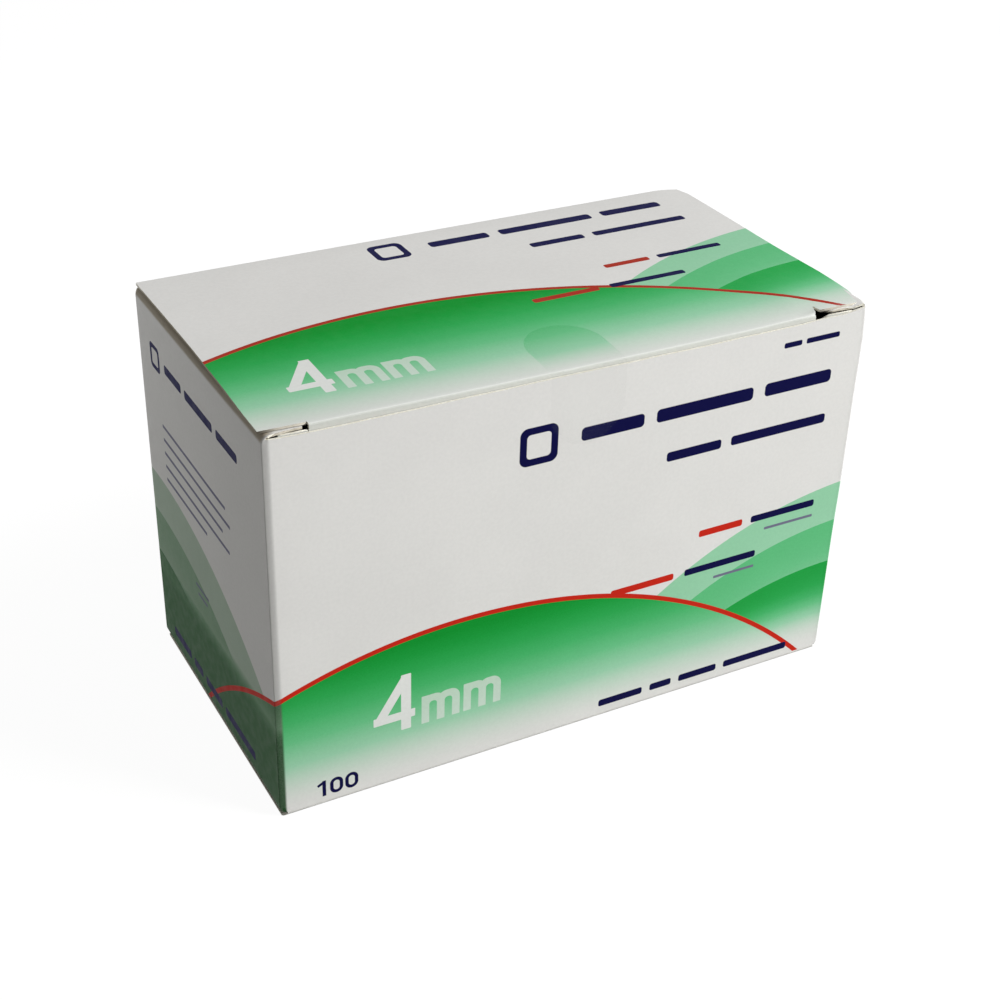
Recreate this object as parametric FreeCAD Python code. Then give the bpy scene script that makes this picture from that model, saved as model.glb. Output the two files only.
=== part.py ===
# A sealed folding carton that holds a hundred pen needles: one die-cut sheet
# of white board, folded, glued at a back corner and tucked shut at both ends,
# with a clear round-ended film seal over the top front edge.
# Millimetres. Origin at the middle of the underside, +X right along the front,
# the front at -Y, +Z up. The pack stays shut, so its inside is filled.

import FreeCAD
import Part
import math
import os

# Driving dimensions

width = 120.0
depth = 64.2
height = 79.5
board = 0.45

# Folds, as outer radii

wall_crease_radius = 1.5
dust_fold_radius = 1.8
hinge_radius = 0.9
tuck_roll_radius = 0.9

# Closure at each end: lid over dust flaps, tuck flap behind the free wall edge

lid_gap = 0.15
lid_gap_depth = 5.0
tuck_clearance = 0.1
flap_clearance = 0.35
flap_undercut = 1.2
ear_overhang = 0.05
slit_setback = 10.0
slot_depth = 4.0
slot_end_wall = 1.8
tuck_end_clearance = 0.5
tuck_edge_drop = 0.1
free_edge_drop = 1.1
free_edge_relief = 0.4
relief_slope = 0.5
hinge_end_drop = 0.25

# Glue seam at the back right corner. The lid hangs on that wall, so it is the
# narrower one, and it has drifted to the left where it tucks in.

seam_setback = 1.0
lid_side_clearance = 0.2
lid_drift = 1.2
base_side_clearance = 0.4
base_drift = 0.2

# Openings where the slits end, and how far each one gapes

opening_along = 2.8
opening_back = 1.0
relief_cut_side = 1.0
relief_cut_back = 2.6
gape_left = 0.4
gape_right = 1.0
gape_underside = 0.4

# Clear film seal, folded over the middle of the top front edge

seal_width = 15.0
seal_top_reach = 15.8
seal_front_reach = 15.8
seal_film = 0.1

# Worked out from the above

front = -depth / 2
back = depth / 2
left = -width / 2
right = width / 2
lid_half = right - seam_setback - lid_side_clearance
base_half = right - base_side_clearance
slit_end = right - slit_setback
flap_top = height - board - lid_gap
tuck_front = front + board + tuck_clearance
tuck_back = tuck_front + board
flap_front = tuck_back + flap_clearance
ear_front = flap_front - ear_overhang
roll_start = tuck_front + tuck_roll_radius
slot_floor = height - slot_depth
slot_end = right - slot_end_wall
free_edge_ends = height - free_edge_drop
free_edge_middle = free_edge_ends - free_edge_relief
tuck_slit_edge = free_edge_ends - tuck_edge_drop


def rounded_wire(corners, place):
    """Closed outline through (u, v, radius) corners, each rounded by its arc."""
    count = len(corners)
    ends = []
    for index in range(count):
        u, v, radius = corners[index]
        before = corners[index - 1]
        after = corners[(index + 1) % count]
        to_before = unit(before[0] - u, before[1] - v)
        to_after = unit(after[0] - u, after[1] - v)
        if radius <= 0:
            ends.append(((u, v), None, (u, v)))
            continue
        cosine = to_before[0] * to_after[0] + to_before[1] * to_after[1]
        half = math.acos(max(-1.0, min(1.0, cosine))) / 2
        reach = radius / math.tan(half)
        bisector = unit(to_before[0] + to_after[0], to_before[1] + to_after[1])
        bulge = radius / math.sin(half) - radius
        arc_in = (u + to_before[0] * reach, v + to_before[1] * reach)
        arc_middle = (u + bisector[0] * bulge, v + bisector[1] * bulge)
        arc_out = (u + to_after[0] * reach, v + to_after[1] * reach)
        ends.append((arc_in, arc_middle, arc_out))
    edges = []
    for index in range(count):
        arc_in, arc_middle, arc_out = ends[index]
        next_in = ends[(index + 1) % count][0]
        if arc_middle is not None:
            arc = Part.Arc(place(*arc_in), place(*arc_middle), place(*arc_out))
            edges.append(arc.toShape())
        if math.dist(arc_out, next_in) > 1e-6:
            edges.append(Part.makeLine(place(*arc_out), place(*next_in)))
    return Part.Wire(edges)


def unit(u, v):
    """Vector of length one along (u, v)."""
    length = math.hypot(u, v)
    return u / length, v / length


def plan_prism(corners, low, high):
    """Outline seen from above, in x and y, raised from low to high."""
    wire = rounded_wire(corners, lambda x, y: FreeCAD.Vector(x, y, low))
    return Part.Face(wire).extrude(FreeCAD.Vector(0, 0, high - low))


def side_prism(corners, start, stop):
    """Outline seen from the side, in y and z, drawn out along x."""
    wire = rounded_wire(corners, lambda y, z: FreeCAD.Vector(start, y, z))
    return Part.Face(wire).extrude(FreeCAD.Vector(stop - start, 0, 0))


def front_prism(corners, start, stop):
    """Outline seen from the front, in x and z, drawn out along y."""
    wire = rounded_wire(corners, lambda x, z: FreeCAD.Vector(x, start, z))
    return Part.Face(wire).extrude(FreeCAD.Vector(0, stop - start, 0))


def upside_down(shape):
    """The same closure on the underside, with its hinge on the front wall."""
    turned = shape.copy()
    middle = FreeCAD.Vector(0, 0, height / 2)
    turned.rotate(middle, FreeCAD.Vector(1, 0, 0), 180)
    return turned


def wall_tube():
    """Four walls in plan, with the glue seam's step at the back right corner."""
    seam = right - seam_setback
    glue_flap = back - board
    under_seam = [
        (left, front, wall_crease_radius),
        (right, front, wall_crease_radius),
        (right, glue_flap, wall_crease_radius),
        (left, glue_flap, 0),
    ]
    over_seam = [
        (left, front, wall_crease_radius),
        (seam, front, 0),
        (seam, back, 0),
        (left, back, wall_crease_radius),
    ]
    return plan_prism(under_seam, 0, height).fuse(plan_prism(over_seam, 0, height))


def dust_folds():
    """Side walls rolling over into the dust flaps, at the top and the bottom."""
    low = height - flap_top
    corners = [
        (left, low, dust_fold_radius),
        (right, low, dust_fold_radius),
        (right, flap_top, dust_fold_radius),
        (left, flap_top, dust_fold_radius),
    ]
    return front_prism(corners, front - 1, back + 1)


def closure_room():
    """Body outline from the side: a free edge at one wall, a hinge at the other."""
    hinge_room = height - hinge_radius - hinge_end_drop
    top_half = [
        (back, hinge_room, 0),
        (back - board, hinge_room, 0),
        (back - board - lid_gap, flap_top, 0),
        (flap_front, flap_top, 0),
        (flap_front, free_edge_ends, 0),
        (front, free_edge_ends, 0),
    ]
    bottom_half = [(-y, height - z, radius) for y, z, radius in top_half]
    return side_prism(top_half + bottom_half, left - 1, right + 1)


def tuck_slot():
    """Room behind the free wall, wider below the dust flaps' raw edges."""
    flap_underside = flap_top - board
    corners = [
        (front + board, slot_floor, 0),
        (flap_front + flap_undercut, slot_floor, 0),
        (flap_front + flap_undercut, flap_underside, 0),
        (flap_front, flap_underside, 0),
        (flap_front, height, 0),
        (front + board, height, 0),
    ]
    return side_prism(corners, -slot_end, slot_end)


def free_edge_cut(drift):
    """The free wall edge is cut lower between the slits, where the lid folds in."""
    low_left = -slit_end - drift + relief_slope
    low_right = slit_end - drift - relief_slope
    corners = [
        (low_left - relief_slope, height, 0),
        (low_left - relief_slope, free_edge_ends, 0),
        (low_left, free_edge_middle, 0),
        (low_right, free_edge_middle, 0),
        (low_right + relief_slope, free_edge_ends, 0),
        (low_right + relief_slope, height, 0),
    ]
    return front_prism(corners, front - 1, front + board)


def lid(half, drift):
    """Lid sheet: hinge fold, flat panel, folded edge and tuck between the slits."""
    inside_hinge = hinge_radius - board
    inside_roll = tuck_roll_radius - board
    tuck_root = slot_floor - board
    hinge_side = [
        (back - board, height - board, inside_hinge),
        (back - board, slot_floor, 0),
        (back, slot_floor, 0),
        (back, height, hinge_radius),
    ]
    rolled = hinge_side + [
        (tuck_front, height, tuck_roll_radius),
        (tuck_front, tuck_root, 0),
        (tuck_back, tuck_root, 0),
        (tuck_back, height - board, inside_roll),
    ]
    flat = hinge_side + [
        (ear_front, height, 0),
        (ear_front, height - board, 0),
    ]
    outline = [
        (-half, back, 0),
        (half, back, 0),
        (half - drift, front, 0),
        (-half - drift, front, 0),
    ]
    fold = side_prism(rolled, -slit_end - drift, slit_end - drift)
    sheet = side_prism(flat, left - drift, right).fuse(fold)
    sheet = sheet.common(plan_prism(outline, tuck_root, height))
    return sheet.common(wall_tube())


def tuck_slit_edges(drift):
    """The tuck flap's cut edge behind the free wall, outward of each slit's end."""
    tuck_root = slot_floor - board
    corners = [
        (tuck_front, tuck_root, 0),
        (tuck_back, tuck_root, 0),
        (tuck_back, tuck_slit_edge, 0),
        (tuck_front, tuck_slit_edge, 0),
    ]
    reach = slot_end - tuck_end_clearance
    left_edge = side_prism(corners, -reach, -slit_end - drift)
    return left_edge.fuse(side_prism(corners, slit_end - drift, reach))


def filling():
    """What fills the shallow gap between lid and dust flaps, away from the edges."""
    reach = right - lid_gap_depth
    corners = [
        (-reach, flap_front + lid_gap_depth, 0),
        (reach, flap_front + lid_gap_depth, 0),
        (reach, back - lid_gap_depth, 0),
        (-reach, back - lid_gap_depth, 0),
    ]
    return plan_prism(corners, flap_top - board / 2, height - board / 2)


def slit_opening(side, drift, gape):
    """Opening at a slit's inner end, with the angled relief cut that leaves it."""
    x = side * slit_end - drift
    y = front + board
    clear_y = max(flap_front, y + gape * opening_back)
    corners = [
        (x, y, 0),
        (x + side * gape * opening_along, y, 0),
        (x + side * gape * opening_along, flap_front - flap_clearance / 2, 0),
        (x + side * gape * opening_along / 2, clear_y, 0),
        (x - side * gape * relief_cut_side, clear_y + gape * relief_cut_back, 0),
    ]
    return plan_prism(corners, slot_floor, height + 1)


def closure(half, drift, gapes):
    """What one end takes from the body, adds to it, and cuts through it all."""
    room = tuck_slot().fuse(free_edge_cut(drift))
    added = lid(half, drift).fuse(tuck_slit_edges(drift)).fuse(filling())
    openings = slit_opening(-1, drift, gapes[0])
    openings = openings.fuse(slit_opening(1, drift, gapes[1]))
    return room, added, openings


def carton():
    """The whole folded sheet, shut at both ends, as one filled solid."""
    body = wall_tube().common(dust_folds()).common(closure_room())
    top = closure(lid_half, lid_drift, (gape_left, gape_right))
    base = closure(base_half, base_drift, (gape_underside, gape_underside))
    base = [upside_down(shape) for shape in base]
    for room, added, openings in (top, base):
        body = body.cut(room).fuse(added).cut(openings)
    return body.removeSplitter()


def seal_bridge():
    """Tangent from the free wall edge up to the lid's roll, as (slope, corner)."""
    centre_y = roll_start - front
    centre_z = height - tuck_roll_radius - free_edge_middle
    away = math.hypot(centre_y, centre_z)
    slope = math.atan2(centre_z, centre_y) + math.asin(tuck_roll_radius / away)
    rise = height - free_edge_middle
    return slope, front + rise / math.tan(slope)


def clear_seal():
    """Film lying on the lid, over the roll, across to the free edge and down."""
    slope, corner = seal_bridge()
    top_end = front + seal_top_reach
    low_end = height - seal_front_reach
    skin = seal_film
    half_turn = math.tan(slope / 2)
    half_drop = math.tan((math.pi / 2 - slope) / 2)
    corners = [
        (top_end, height, 0),
        (corner, height, tuck_roll_radius),
        (front, free_edge_middle, 0),
        (front, low_end, 0),
        (front - skin, low_end, 0),
        (front - skin, free_edge_middle + skin * half_drop, skin),
        (corner - skin * half_turn, height + skin, tuck_roll_radius + skin),
        (top_end, height + skin, 0),
    ]
    half = seal_width / 2
    strip = side_prism(corners, -half, half)
    round_top = [
        (-half, front - 1, 0),
        (half, front - 1, 0),
        (half, top_end, half * 0.999),
        (-half, top_end, half * 0.999),
    ]
    round_front = [
        (-half, low_end, half * 0.999),
        (half, low_end, half * 0.999),
        (half, height + 1, 0),
        (-half, height + 1, 0),
    ]
    strip = strip.common(plan_prism(round_top, low_end - 1, height + 1))
    return strip.common(front_prism(round_front, front - 1, top_end + 1))


def main():
    os.makedirs("parts", exist_ok=True)
    carton().exportStep("parts/carton.step")
    clear_seal().exportStep("parts/clear_seal.step")


main()
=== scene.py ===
# Looks of a sealed folding carton of pen needles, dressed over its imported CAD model.
# The carton is one folded sheet of coated board with real thickness: walls, creases,
# dust flaps, lid, folded front edge, tuck flap, slits and glue seam. Its print is a
# plain design of circle arcs, bars and numerals, laid out in millimetres of the board.
# Lengths here are millimetres in the frame of the CAD model, and meshes are made in metres.

import math

import bpy
from mathutils import Matrix, Vector


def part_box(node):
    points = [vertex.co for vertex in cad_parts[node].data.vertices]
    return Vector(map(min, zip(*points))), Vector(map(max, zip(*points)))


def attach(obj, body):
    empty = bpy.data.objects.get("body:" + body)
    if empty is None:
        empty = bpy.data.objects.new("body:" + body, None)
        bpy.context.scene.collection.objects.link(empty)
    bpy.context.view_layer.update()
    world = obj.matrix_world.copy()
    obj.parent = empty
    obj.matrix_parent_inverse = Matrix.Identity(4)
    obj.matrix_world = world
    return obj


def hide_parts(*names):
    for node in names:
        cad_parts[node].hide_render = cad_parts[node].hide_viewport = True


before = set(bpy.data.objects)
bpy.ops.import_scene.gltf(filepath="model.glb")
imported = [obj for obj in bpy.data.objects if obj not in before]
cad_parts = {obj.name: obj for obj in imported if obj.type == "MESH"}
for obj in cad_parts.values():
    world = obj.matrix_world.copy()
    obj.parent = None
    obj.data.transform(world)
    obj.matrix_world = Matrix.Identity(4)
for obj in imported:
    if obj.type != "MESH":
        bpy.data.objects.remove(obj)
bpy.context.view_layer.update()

MM = 0.001

# The pack's outer planes and the seal's extent, from the CAD model

box_low, box_high = (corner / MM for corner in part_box("carton"))
left, front, floor_z = box_low
right, back, top_z = box_high
width = right - left
depth = back - front
height = top_z - floor_z
seal_low, seal_high = (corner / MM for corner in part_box("clear_seal"))
seal_middle = (seal_low.x + seal_high.x) / 2
seal_half = (seal_high.x - seal_low.x) / 2
seal_reach = seal_high.y - front
seal_drop = top_z - seal_low.z

# Board and folds

board = 0.45
bead = 0.06
fold_start = 2.4
dust_fold_radius = 1.8
lid_hinge_radius = 0.6
base_hinge_radius = 1.1
roll_radius = 0.4

# Closure, measured inward from the free wall's face or down from the panel

tuck_front = 0.55
roll_start = tuck_front + roll_radius
# How far along the board from the free wall's face the painted shade of the folded front edge reaches
lip_edge = 0.66
ear_front = 1.3
hinge_end_edge = 1.15
base_free_edge = 1.1
panel_half = 59.0
tuck_shoulder = 1.15
tuck_length = 15.0
tuck_half = 57.0
tuck_lean = 0.02
dust_flap_length = 28.0
dust_flap_back = 1.15
dust_flap_slope = 0.02
under_panel = 0.05

# Glue seam: the back wall laps over a flap from the right wall

seam_edge = right - 1.0
seam_gap = 0.02
glue_flap_width = 14.0

# How far the pack has racked and worn: its left wall leans out towards the back, more
# so above, its front right corner swells and the lid's back right corner is bent down

racking_low = 0.2
racking_high = 0.45
lean_span = (-20.0, -58.0)
swelling = 0.2
swelling_steps = [(28.0, 42.0, 1.0), (60.0, 71.0, 0.6), (74.5, 79.0, -2.7)]
swelling_span = (48.0, 59.0)
worn_corner = 0.55
worn_reach = 5.0

# Numbers of rows, and about how far apart the columns of a wall are

column_pitch = 5.0
end_steps = 6
fold_steps = 12
hinge_steps = 8
crease_steps = 20


def smooth(low, high, value):
    """Zero at low, one at high, and an S curve between."""
    t = max(0.0, min(1.0, (value - low) / (high - low)))
    return t * t * (3 - 2 * t)


def mix(a, b, share):
    """The value that lies that share of the way from a to b."""
    return a + (b - a) * share


def climb(steps, value):
    """Sum of S-curved steps, each as (start, end, height)."""
    return sum(rise * smooth(low, high, value) for low, high, rise in steps)


def trace(points, place):
    """Height at this place of a line drawn through the points."""
    for (low, start), (high, stop) in zip(points, points[1:]):
        if place <= high:
            return mix(start, stop, max(0.0, place - low) / (high - low))
    return points[-1][1]


def stations(start, stop, pitch, marks):
    """Places from start to stop about a pitch apart, with one at each mark."""
    fixed = sorted({start, stop, *(m for m in marks if start < m < stop)})
    places = [fixed[0]]
    for low, high in zip(fixed, fixed[1:]):
        steps = max(1, round((high - low) / pitch))
        places += [mix(low, high, (step + 1) / steps) for step in range(steps)]
    return places


# Creases between walls, as the board's heading in degrees along the crease. The panel
# flares a little, turns sharply to a narrow facet, and rolls softly into the next wall.

crease_headings = [(0.0, 0.0), (0.3, -5.0), (0.6, -4.0), (0.9, 64.0), (1.65, 70.0), (2.25, 90.0)]


def crease_path():
    """Points across a crease as (forward, turned inward, share of the way, fold weight)."""
    total = crease_headings[-1][0]
    points = [(0.0, 0.0, 0.0, 0.0)]
    forward = 0.0
    inward = 0.0
    for step in range(crease_steps):
        heading = math.radians(trace(crease_headings, (step + 0.5) * total / crease_steps))
        forward += math.cos(heading) * total / crease_steps
        inward += math.sin(heading) * total / crease_steps
        share = (step + 1) / crease_steps
        weight = smooth(0.15, 0.35, share) * (1 - smooth(0.7, 0.95, share))
        points.append((forward, inward, share, weight))
    return points


crease = crease_path()
near = crease[-1][0]
far = crease[-1][1]
crease_middle = crease_steps // 2


class Column:
    """One station round the walls: its place in plan and on the blank, wall and side.

    Follow is how closely the edge above it keeps to the dust flap beside it."""

    def __init__(self, x, y, blank, wall, fold=0.0):
        self.x = x
        self.y = y
        self.blank = blank
        self.wall = wall
        self.fold = fold
        self.side = -1 if x < 0 else 1
        self.follow = 0.0
        self.cut = False


class Closure:
    """One end of the pack: its hinge wall, panel, slits and unevenness.

    Keyed by side, -1 left and 1 right, are the panel's raw edge, as places from front to
    back, each slit's column, where its relief cut ends, how far the panel is pulled
    sideways off it and how far the ear gapes."""

    def __init__(self, hinge, free, hinge_radius, edges, drifts, slits, cuts, pulls, gapes, sag):
        self.hinge = hinge
        self.free = free
        self.hinge_radius = hinge_radius
        self.edges = edges
        self.drifts = drifts
        self.slits = slits
        self.cuts = cuts
        self.pulls = pulls
        self.gapes = gapes
        self.sag = sag
        self.turned = hinge == "front"
        self.sign = -1 if self.turned else 1
        self.face_y = back - bead if self.turned else front + bead
        self.panel_z = floor_z if self.turned else top_z
        self.fold_z = self.level(fold_start)

    def level(self, drop):
        """Height of what lies this deep below the panel."""
        return self.panel_z - self.sign * drop

    def place(self, x, reach, drop):
        """Point from x, distance from the free wall's face and depth below the panel."""
        return x, self.face_y + self.sign * reach, self.level(drop)

    def reach(self, y):
        """Distance of this y from the free wall's face."""
        return self.sign * (y - self.face_y)

    def shift(self, reach):
        """How far the panel has moved sideways, this far from the free wall."""
        return mix(*self.drifts, smooth(0.0, 34.0, reach))

    def marks(self):
        """Columns that the slits need on the hinge wall."""
        found = []
        for side, slit in self.slits.items():
            found += [slit + side * step for step in (-5.0, -2.2, 0.0, 2.2, 4.6)]
        return found


# The lid's unevenness, as depths at places across the front, and how they fade behind it

slit_left = -51.15
slit_right = 50.1
front_dips = [
    (-51.3, 0.0), (-49.7, 0.05), (-42.0, 0.15), (-36.0, 0.28), (-20.0, 0.55),
    (-6.0, 0.7), (22.0, 0.9), (36.0, 0.9), (47.8, 0.65),
]
ear_levels = [(-60.7, -0.05), (-52.0, 0.15), (-45.0, 0.1), (44.0, 0.1), (49.5, 0.4), (57.5, 0.6)]
free_edge_drops = [
    (-60.0, 1.15), (-56.0, 1.3), (slit_left, 1.45), (-46.0, 1.55), (-6.0, 1.65),
    (22.0, 1.95), (45.0, 1.95), (slit_right, 1.75), (54.7, 1.85), (58.8, 1.25),
]


dip_fade_by_slit = 2.2
dip_fade_inside = 14.0
dip_widens_over = 12.0
ear_dip_fade = 1.5
ear_level_fade = 9.0
lid_arch = 0.12
lid_ripple = 0.025


def lid_sag(x, reach):
    """Depth of the lid below level: its front is pulled down between the slits."""
    inner = min(x - lid_slit(-1), lid_slit(1) - x)
    fade = mix(dip_fade_by_slit, dip_fade_inside, smooth(0.0, dip_widens_over, inner))
    dip = trace(front_dips, x) * math.exp(-(reach - roll_start) / fade)
    if inner < 0:
        dip *= math.exp(inner / ear_dip_fade) * min(1.0, reach / lid.cuts[1]) ** 2
    dip += trace(ear_levels, x) * math.exp(-reach / ear_level_fade)
    arch = lid_arch * math.sin(math.pi * reach / depth)
    ripple = lid_ripple * math.sin(x / 9.0 + reach / 14.0) * math.sin(reach / 11.0)
    return dip - arch + ripple


def lid_slit(side):
    """Where a slit of the lid meets the free wall."""
    return lid.slits[side] + lid.drifts[0]


def base_sag(x, reach):
    """The base panel lies flat on what the pack stands on."""
    return 0.0


lid = Closure(
    hinge="back", free="front", hinge_radius=lid_hinge_radius,
    edges={
        -1: [(0.0, -60.2), (8.0, -60.1), (18.0, -59.75), (34.0, -59.5), (64.0, -59.5)],
        1: [
            (1.3, 58.4), (3.0, 59.4), (6.0, 59.95), (14.0, 59.95),
            (22.0, 59.4), (30.0, 59.0), (64.0, 58.8),
        ],
    },
    drifts=(-0.6, -0.3), slits={-1: slit_left, 1: slit_right}, cuts={-1: 1.6, 1: 3.3},
    pulls={-1: 0.05, 1: 1.1}, gapes={-1: 0.12, 1: 0.3}, sag=lid_sag,
)
base = Closure(
    hinge="front", free="back", hinge_radius=base_hinge_radius,
    edges={-1: [(0.0, -59.5), (64.0, -59.5)], 1: [(0.0, 59.5), (64.0, 59.5)]},
    drifts=(0.0, 0.0), slits={-1: slit_left, 1: slit_right}, cuts={-1: 1.6, 1: 1.6},
    pulls={-1: 0.05, 1: 0.05}, gapes={-1: 0.35, 1: 0.35}, sag=base_sag,
)


def wall_columns():
    """Columns from the seam edge round the back, left, front and right to the glue flap."""
    wall_left, wall_right = left + bead, right - bead
    wall_front, wall_back = front + bead, back - bead
    glue_plane = wall_back - board - seam_gap
    # Each wall is (name, heading, plane, start, stop, blank place of nought, next fold line)
    walls = [
        ("back", (-1, 0), wall_back, seam_edge, wall_left + near, left - depth, -depth),
        ("left", (0, -1), wall_left, wall_back - far, wall_front + near, front, 0.0),
        ("front", (1, 0), wall_front, wall_left + far, wall_right - near, -left, width),
        ("right", (0, 1), wall_right, wall_front + far, glue_plane - near, width - front, width + depth),
        ("glue", (-1, 0), glue_plane, wall_right - far, wall_right - glue_flap_width,
         width + depth + right, None),
    ]
    columns = []
    for index, (wall, (dx, dy), plane, start, stop, blank, fold_line) in enumerate(walls):
        low, high = sorted((start, stop))
        places = stations(low, high, column_pitch, lid.marks() if wall in ("front", "back") else [])
        if start > stop:
            places.reverse()
        for place in places:
            x, y = (place, plane) if dx else (plane, place)
            columns.append(Column(x, y, blank + (dx + dy) * place, wall))
        if fold_line is None:
            break
        end = columns.pop()
        for step, (forward, inward, share, weight) in enumerate(crease):
            column = Column(
                end.x + dx * forward - dy * inward, end.y + dy * forward + dx * inward,
                mix(fold_line - near, fold_line + far, share),
                wall if step <= crease_middle else walls[index + 1][0], weight,
            )
            column.cut = step == crease_middle
            column.follow = smooth(0.0, 1.0, 1 - abs(step - crease_middle) / crease_middle)
            columns.append(column)
        columns.pop()
    for number, column in enumerate(columns):
        column.number = number
    return columns


outward = {"front": (0, -1), "back": (0, 1), "left": (-1, 0), "right": (1, 0), "glue": (0, 1)}
bellies = {"front": 0.12, "back": 0.1, "left": 0.05, "right": 0.08, "glue": 0.1}


def wall_bow(column, z):
    """Outward bow of a wall: the panels belly a little and ripple less."""
    free = (z - floor_z - fold_start) / (height - 2 * fold_start)
    if column.fold or free <= 0 or free >= 1:
        return 0.0
    if column.wall in ("left", "right"):
        across = smooth(front, back, column.y)
    else:
        across = smooth(left, right, column.x)
    ripple = 0.03 * math.sin(column.blank / 7.5 + z / 13.0)
    return math.sin(math.pi * free) * math.sin(math.pi * across) * (bellies[column.wall] + ripple)


def settled(x, y, z):
    """A point moved as the used pack has racked and its corner has worn."""
    lean = mix(racking_low, racking_high, z / top_z) * (y - front) / depth * smooth(*lean_span, x)
    swell = swelling * climb(swelling_steps, z) * smooth(*swelling_span, x) * smooth(back, front, y)
    bend = smooth(right - 6.5, right - 0.5, x) * smooth(back - worn_reach, back - 0.5, y)
    bend *= smooth(top_z - worn_reach, top_z, z)
    return Vector((x - lean + swell, y, z - worn_corner * bend))


class Sheet:
    """The outer face of the board, point by point, before it is given its thickness."""

    def __init__(self):
        self.points = []
        self.notes = []
        self.faces = []
        self.finishes = []
        self.named = {}

    def point(self, name, place, wall_print, lid_print, fold=0.0, painted_shade=0.0):
        """Index of the point with this name, made if it is new."""
        if name not in self.named:
            self.named[name] = len(self.points)
            self.points.append(settled(*place))
            self.notes.append((wall_print, lid_print, fold, painted_shade))
        return self.named[name]

    def face(self, at, first, second, lower, upper, finish, turned=False):
        """A face between two columns and two rows, turned over for a bottom end."""
        corners = (at(first, lower), at(second, lower), at(second, upper), at(first, upper))
        if turned:
            corners = tuple(reversed(corners))
        self.faces.append(corners)
        self.finishes.append(finish)


WALL, LID, BASE, INSIDE, RAW = range(5)
# Whitening of the print at folds, worn print; at the lid's folded front edge it is strong, worn print
# and a painted highlight along the crest
wall_fold_wear = 0.15
end_fold_wear = 0.3
lip_wear_and_highlight = 0.9


def wall_point(sheet, column, z):
    """The point of a wall column at this height."""
    bow = wall_bow(column, z)
    away_x, away_y = outward[column.wall]
    place = (column.x + away_x * bow, column.y + away_y * bow, z)
    name = ("wall", column.number, round(z, 4))
    lid_print = (column.x, depth + top_z - z)
    return sheet.point(name, place, (column.blank, z), lid_print, wall_fold_wear * column.fold)


def add_walls(sheet, columns):
    """The part of the walls between the end folds."""
    rows = stations(base.fold_z, lid.fold_z, column_pitch, [])
    for low, high in zip(rows, rows[1:]):
        for first, second in zip(columns, columns[1:]):
            sheet.face(lambda column, z: wall_point(sheet, column, z), first, second, low, high, WALL)


def free_edge(closure, x):
    """Depth of the free wall's raw edge below the panel, lower between the slits."""
    if closure.turned:
        return base_free_edge
    return trace(free_edge_drops, x) + 0.03 * math.sin(x / 3.1) + 0.02 * math.sin(x / 1.3)


def end_point(sheet, closure, column, step):
    """A point where a wall runs straight up past the fold line to its raw edge.

    Near a corner the edge leans in with the dust flap, which it meets at the cut."""
    if step == 0:
        return wall_point(sheet, column, closure.fold_z)
    stop = free_edge(closure, column.x) if column.wall == closure.free else hinge_end_edge
    drop = mix(fold_start, stop, step / end_steps)
    x, y = column.x, column.y
    if column.follow:
        flap_x, flap_y, flap_drop, *_ = flap_place(closure, column, step)
        x = mix(x, flap_x, column.follow)
        y = mix(y, flap_y, column.follow)
        drop = mix(drop, flap_drop, column.follow)
    z = closure.level(drop)
    kind = "flap" if column.cut else "rise"
    name = (kind, closure.hinge, column.number, step)
    return sheet.point(name, (x, y, z), (column.blank, z), (column.x, depth + drop))


def add_plain_end(sheet, closure, columns):
    """Walls that simply stop: the free wall, and the ends beside the hinge."""
    for first, second in zip(columns, columns[1:]):
        for step in range(end_steps):
            sheet.face(
                lambda column, row: end_point(sheet, closure, column, row),
                first, second, step, step + 1, WALL, closure.turned,
            )


# Folds of the dust flaps under the lid, as (radius, depth below the lid) at the back,
# and as changes of them further forward, each as (start, end, radius, depth)

fold_backs = {-1: (1.2, 1.0), 1: (1.4, 0.42)}
fold_changes = {
    -1: [(-12.0, -30.0, 1.45, 0.62)],
    1: [(-2.0, -24.0, 0.6, 0.25), (-30.2, -32.0, 0.9, 0.45)],
}


def fold_shape(closure, side, y):
    """Radius of a dust flap's fold and its depth below the panel, at this place along it."""
    if closure is base:
        return dust_fold_radius, fold_start - dust_fold_radius
    radius, level = fold_backs[side]
    for start, stop, next_radius, next_level in fold_changes[side]:
        share = smooth(start, stop, y)
        radius = mix(radius, next_radius, share)
        level = mix(level, next_level, share)
    return radius, level


# Rows of a dust flap past its fold, and how its front edge draws back along it: gently
# at first, then in the shoulder that its die-cut corner leaves

flap_reaches = [2.6, 4.2, 6.0, 7.3, 8.2, 9.4, 12.0, 16.0, 22.0, dust_flap_length]
flap_front = 0.2
flap_front_steps = [(0.4, 2.2, 0.55), (2.2, 6.0, 0.35)]
shoulder_height = 2.6
shoulders = {-1: (7.3, 8.2), 1: (7.8, 9.0)}
# Turn of the fold at which the painted shade on the lid's left dust flap is full
flap_painted_shade_turn = 0.45

# The pulled panel presses the flap down beside a slit

pressed_from = 1.5
pressed_span = (4.0, 0.8)
pressed_fade = 8.0


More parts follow.
